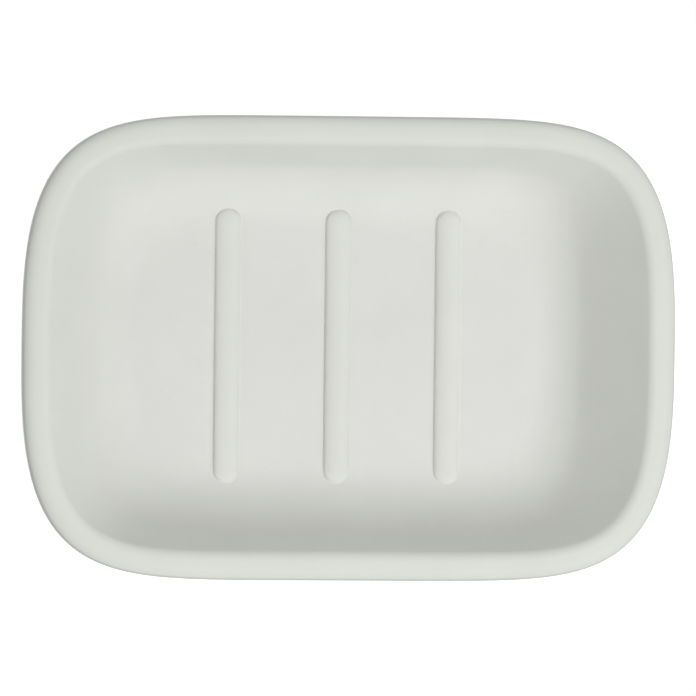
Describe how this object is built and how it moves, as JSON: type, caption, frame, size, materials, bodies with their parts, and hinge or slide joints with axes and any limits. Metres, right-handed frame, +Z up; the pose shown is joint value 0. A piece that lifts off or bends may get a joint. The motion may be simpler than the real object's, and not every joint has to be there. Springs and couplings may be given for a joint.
{
  "type": "soap dish",
  "caption": "Oblong matt ceramic soap dish with a rounded rim, swept walls, raised drainage ribs and stick-on pads underneath.",
  "frame": {"origin": "middle of the plane that the pads stand on", "axes": "+X along the dish to its right end, +Y across it to the back, +Z up"},
  "size_m": [0.14, 0.0986, 0.028],
  "materials": {
    "matt_stoneware": "matte",
    "pad_elastomer": "matte",
    "adhesive_film": "satin"
  },
  "bodies": {
    "root": {"dish_body": "matt_stoneware", "foot_pad_front_left": "pad_elastomer", "foot_pad_front_right": "pad_elastomer", "foot_pad_back_left": "pad_elastomer", "foot_pad_back_right": "pad_elastomer", "pad_adhesive_front_left": "adhesive_film", "pad_adhesive_front_right": "adhesive_film", "pad_adhesive_back_left": "adhesive_film", "pad_adhesive_back_right": "adhesive_film"}
  },
  "joints": []
}
